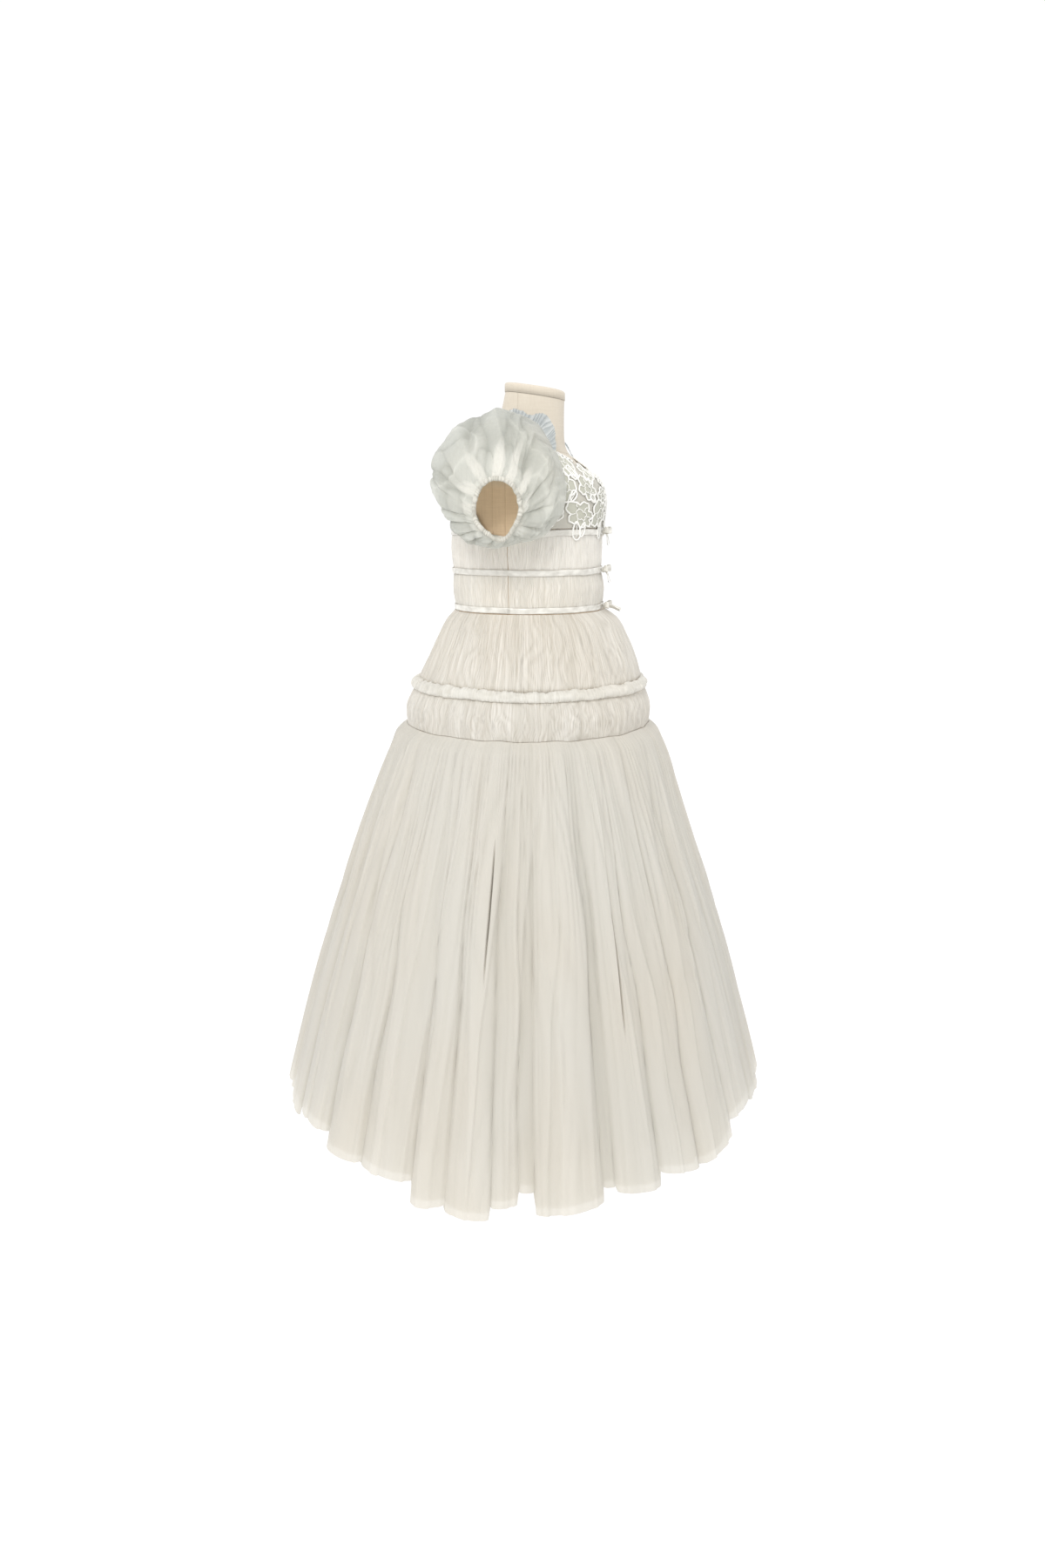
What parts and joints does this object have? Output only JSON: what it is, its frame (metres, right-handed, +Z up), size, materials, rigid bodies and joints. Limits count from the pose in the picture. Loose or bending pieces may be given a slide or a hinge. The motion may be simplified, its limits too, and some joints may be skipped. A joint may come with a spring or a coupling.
{
  "type": "tulle gown on a dress form",
  "caption": "Child's long tulle gown with puff sleeves, a corded lace bodice, satin ribbons and a gathered skirt, worn by a limbless dress form on a round steel stand.",
  "frame": {"origin": "centre of the stand base's underside, on the floor", "axes": "+Z up; -Y towards the gown's front; +X towards the wearer's left"},
  "size_m": [0.6636, 0.6505, 0.9646],
  "materials": {
    "tulle": "fine gathered tulle, warm ivory with a grey-green cast",
    "sleeve_tulle": "sheer grey-green tulle in soft folds",
    "sleeve_lining": "opaque cream satin puff under the sheer sleeve",
    "bodice_lining": "sheer tulle over a nude lining",
    "skirt_lining": "plain warm beige lining",
    "satin_ribbon": "cream satin with a soft sheen",
    "lace_cord": "white corded lace",
    "form_linen": "natural linen cover, plain weave",
    "stand_steel": "satin brushed"
  },
  "bodies": {
    "root": {"dress_form": "form_linen", "neck_cap": "form_linen", "stand_base": "stand_steel", "stand_collar": "stand_steel", "stand_pole": "stand_steel", "bodice_front": "bodice_lining", "bodice_back": "bodice_lining", "band_upper_front": "tulle", "band_upper_back": "tulle", "band_lower_front": "tulle", "band_lower_back": "tulle", "ribbon_upper": "satin_ribbon", "ribbon_middle": "satin_ribbon", "ribbon_waist": "satin_ribbon", "hip_tier_upper": "tulle", "hip_roll": "tulle", "hip_tier_lower": "tulle", "skirt": "tulle", "skirt_lining": "skirt_lining", "bow_upper_loops": "satin_ribbon", "bow_upper_tails": "satin_ribbon", "bow_middle_loops": "satin_ribbon", "bow_middle_tails": "satin_ribbon", "bow_waist_loops": "satin_ribbon", "bow_waist_tails": "satin_ribbon", "sleeve_left": "sleeve_tulle", "sleeve_lining_left": "sleeve_lining", "cuff_left": "sleeve_tulle", "frill_left": "sleeve_tulle", "sleeve_right": "sleeve_tulle", "sleeve_lining_right": "sleeve_lining", "cuff_right": "sleeve_tulle", "frill_right": "sleeve_tulle", "lace_motif_01": "lace_cord", "lace_motif_02": "lace_cord", "lace_motif_03": "lace_cord", "lace_motif_04": "lace_cord", "lace_motif_05": "lace_cord", "lace_motif_06": "lace_cord", "lace_motif_07": "lace_cord", "lace_motif_08": "lace_cord", "lace_motif_09": "lace_cord", "lace_motif_10": "lace_cord", "lace_motif_11": "lace_cord"}
  },
  "joints": []
}
